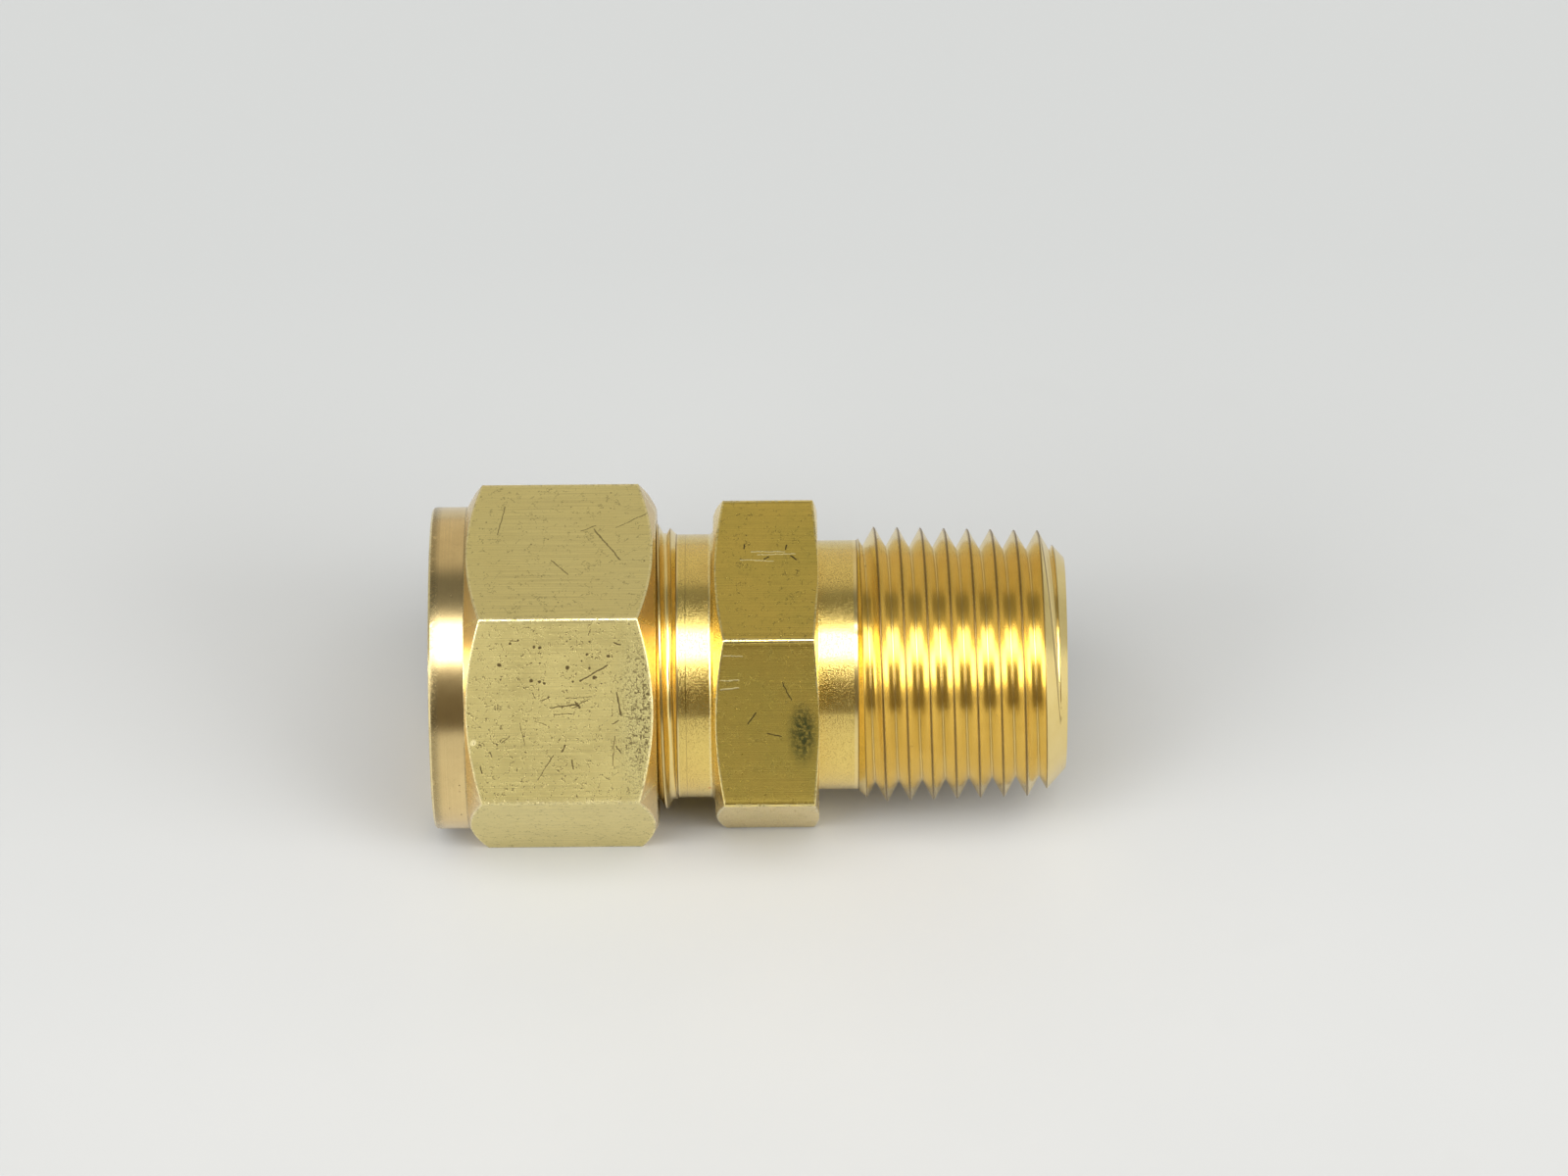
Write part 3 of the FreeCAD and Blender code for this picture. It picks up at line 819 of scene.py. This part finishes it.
nut_looks = {
    "flat": brass("nut_flat", NUT_FLAT, NUT_FLAT_DULL, DIRT, 0.42, (0.10, 11.0), 0.6, 0.2, 0.07,
                  hairlines=0.5, crease=0.7, grime=0.08, marks=nut_flat_marks),
    "chamfer": brass("nut_chamfer", *NUT_TURNED_TONES, 0.28, (0.1, 14.0), 0.25, 0.4, 0.02,
                     hairlines=0.2, crease=0.4, grime=0.12),
    "turned": brass("nut_turned", *NUT_TURNED_TONES, 0.22, (0.05, 14.0), 0.25, 0.3, 0.02,
                    hairlines=0.04, crease=0.55, grime=0.08, crease_cover=0.62, rubbed_glint=0.1),
    "face": brass("nut_face", *NUT_TURNED_TONES, 0.26, (0.05, 14.0), 0.4, 0.5, 0.02),
    "thread": brass("nut_thread", *NUT_TURNED_TONES, 0.25, (0.05, 14.0), 0.2, 0.4, 0.01),
    "bore": brass("nut_bore", *NUT_TURNED_TONES, 0.25, (0.05, 10.0), 0.4, 0.5, 0.01),
}
body_looks = {
    "flat": brass("body_flat", BODY_FLAT, BODY_FLAT_DULL, DIRT, 0.22, (0.06, 11.0), 0.5, 0.3, 0.05,
                  hairlines=0.6, crease=0.7, grime=0.12, crease_cover=0.46, marks=body_flat_marks),
    "chamfer": brass("body_chamfer", *BODY_TURNED_TONES, 0.26, (0.1, 14.0), 0.2, 0.4, 0.02,
                     hairlines=0.2, crease=0.4, grime=0.12),
    "turned": brass("body_turned", *BODY_TURNED_TONES, 0.145, (0.04, 14.0), 0.12, 0.1, 0.01,
                    hairlines=0.03, crease=0.1, grime=0.06, marks=neck_marks),
    "face": brass("body_face", *BODY_TURNED_TONES, 0.26, (0.05, 14.0), 0.3, 0.5, 0.02),
    "thread": brass("body_thread", THREAD, THREAD_DULL, THREAD_DIRT, 0.22, (0.03, 5.0), 0.01, 0.1, 0.01,
                    hairlines=0.03, crease=0.95, grime=0.06, crease_cover=0.75, rubbed_glint=0.05),
    "bore": brass("body_bore", *BODY_TURNED_TONES, 0.25, (0.05, 10.0), 0.4, 0.5, 0.01),
}
for obj, looks in (
    (body, body_looks), (nut, nut_looks), (front_ferrule, body_looks), (back_ferrule, nut_looks),
):
    for slot in SLOTS:
        obj.data.materials.append(looks[slot])

for obj, node, body_name, slot in (
    (body, "connector_body", "body", "body_brass"), (nut, "nut", "nut", "nut_brass"),
    (front_ferrule, "front_ferrule", "ferrules", "ferrule_brass"),
    (back_ferrule, "back_ferrule", "ferrules", "ferrule_brass"),
):
    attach(obj, body_name)
    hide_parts(node)


# ---------------------------------------------------------------- floor, light, camera

def floor_material():
    s = Shader("floor_board")
    position = s.node("ShaderNodeTexCoord").outputs["Object"]
    faint = s.noise(position, 14.0, 4.0, 0.6)
    scuff = s.remap(s.noise(position, 60.0, 3.0, 0.7), 0.62, 0.75, 0.0, 0.05)
    shader = s.node("ShaderNodeBsdfPrincipled")
    tone = s.mix(s.remap(faint, 0.3, 0.7), (0.392, 0.396, 0.392, 1.0), (0.412, 0.413, 0.408, 1.0))
    # Painted shade: the floor is made darker towards the back (+y).
    place = s.node("ShaderNodeSeparateXYZ")
    s.put(place.inputs[0], position)
    tone = s.mix(s.remap(place.outputs[1], -0.03, 0.06), tone, (0.345, 0.352, 0.351, 1.0))
    s.put(shader.inputs["Base Color"], s.mix(scuff, tone, (0.3, 0.3, 0.29, 1.0)))
    shader.inputs["Roughness"].default_value = 0.55
    shader.inputs["Specular IOR Level"].default_value = 0.3
    s.put(s.output.inputs["Surface"], shader.outputs[0])
    return s.material


FLOOR_HALF = 1.5               # m
floor_mesh = bpy.data.meshes.new("floor")
floor_signs = ((-1, -1), (1, -1), (1, 1), (-1, 1))
floor_corners = [(x * FLOOR_HALF, y * FLOOR_HALF, FLOOR_Z * MM) for x, y in floor_signs]
floor_mesh.from_pydata(floor_corners, [], [(0, 1, 2, 3)])
floor = bpy.data.objects.new("floor", floor_mesh)
bpy.context.collection.objects.link(floor)
floor_mesh.materials.append(floor_material())


LIGHT_STRENGTH = 14.0


def studio_world():
    """A long box of light over the front, a lower one at each side, and a dim room behind."""
    world = bpy.data.worlds.new("studio")
    bpy.context.scene.world = world
    world.use_nodes = True
    tree = world.node_tree
    tree.nodes.clear()
    link = tree.links.new

    def calc(operation, a, b=None):
        n = tree.nodes.new("ShaderNodeMath")
        n.operation = operation
        for socket, value in zip(n.inputs, (a, b)):
            if isinstance(value, bpy.types.NodeSocket):
                link(value, socket)
            elif value is not None:
                socket.default_value = value
        return n.outputs[0]

    def ramp(stops):
        n = tree.nodes.new("ShaderNodeValToRGB")
        link(calc("DIVIDE", height, math.pi), n.inputs[0])
        elements = n.color_ramp.elements
        while len(elements) < len(stops):
            elements.new(0.5)
        for element, (angle, r, g, b) in zip(elements, stops):
            element.position = angle / 180.0
            element.color = (r, g, b, 1.0)
        return n.outputs[0]

    coords = tree.nodes.new("ShaderNodeTexCoord")
    split = tree.nodes.new("ShaderNodeSeparateXYZ")
    link(coords.outputs["Generated"], split.inputs[0])
    height = calc("ARCTAN2", split.outputs[2], calc("MULTIPLY", split.outputs[1], -1.0))
    middle = ramp([
        (0.0, 0.009, 0.007, 0.004), (26.0, 0.009, 0.007, 0.004), (40.0, 0.012, 0.010, 0.007),
        (48.0, 0.045, 0.043, 0.04), (54.0, 0.54, 0.54, 0.54), (73.0, 0.54, 0.54, 0.54),
        (81.0, 0.035, 0.035, 0.034), (92.0, 0.012, 0.012, 0.011), (114.0, 0.013, 0.013, 0.012),
        (126.0, 0.045, 0.042, 0.037), (180.0, 0.05, 0.046, 0.04),
    ])
    sides = ramp([
        (0.0, 0.03, 0.03, 0.028), (22.0, 0.05, 0.05, 0.05), (30.0, 0.6, 0.6, 0.6), (56.0, 0.6, 0.6, 0.6),
        (66.0, 0.06, 0.06, 0.06), (120.0, 0.035, 0.035, 0.033), (180.0, 0.035, 0.035, 0.033),
    ])
    edge = tree.nodes.new("ShaderNodeMapRange")
    edge.interpolation_type = "SMOOTHSTEP"
    link(calc("ABSOLUTE", split.outputs[0]), edge.inputs["Value"])
    edge.inputs["From Min"].default_value = 0.40
    edge.inputs["From Max"].default_value = 0.55
    mix = tree.nodes.new("ShaderNodeMix")
    mix.data_type = "RGBA"
    link(edge.outputs[0], mix.inputs["Factor"])
    link(middle, mix.inputs[6])
    link(sides, mix.inputs[7])
    background = tree.nodes.new("ShaderNodeBackground")
    link(mix.outputs[2], background.inputs[0])
    background.inputs[1].default_value = LIGHT_STRENGTH
    output = tree.nodes.new("ShaderNodeOutputWorld")
    link(background.outputs[0], output.inputs[0])


studio_world()

CAMERA_ELEVATION = math.radians(45.2)
CAMERA_ROLL = math.radians(-0.48)
CAMERA_DISTANCE = 650.0
VIEW_WIDTH = 121.95            # mm across the picture at the aim
aim = Vector((2.86, 4.25, 4.22)) * MM
away = Vector((0.0, -math.cos(CAMERA_ELEVATION), math.sin(CAMERA_ELEVATION)))
camera_data = bpy.data.cameras.new("camera")
camera_data.sensor_width = 36.0
camera_data.lens = CAMERA_DISTANCE / VIEW_WIDTH * camera_data.sensor_width
camera_data.clip_start = 0.01
camera_data.clip_end = 10.0
camera = bpy.data.objects.new("camera", camera_data)
bpy.context.collection.objects.link(camera)
camera.location = aim + away * CAMERA_DISTANCE * MM
roll = Quaternion((0.0, 0.0, 1.0), CAMERA_ROLL)
camera.rotation_euler = (away.to_track_quat("Z", "Y") @ roll).to_euler()
bpy.context.scene.camera = camera
bpy.context.scene.view_settings.view_transform = "Standard"
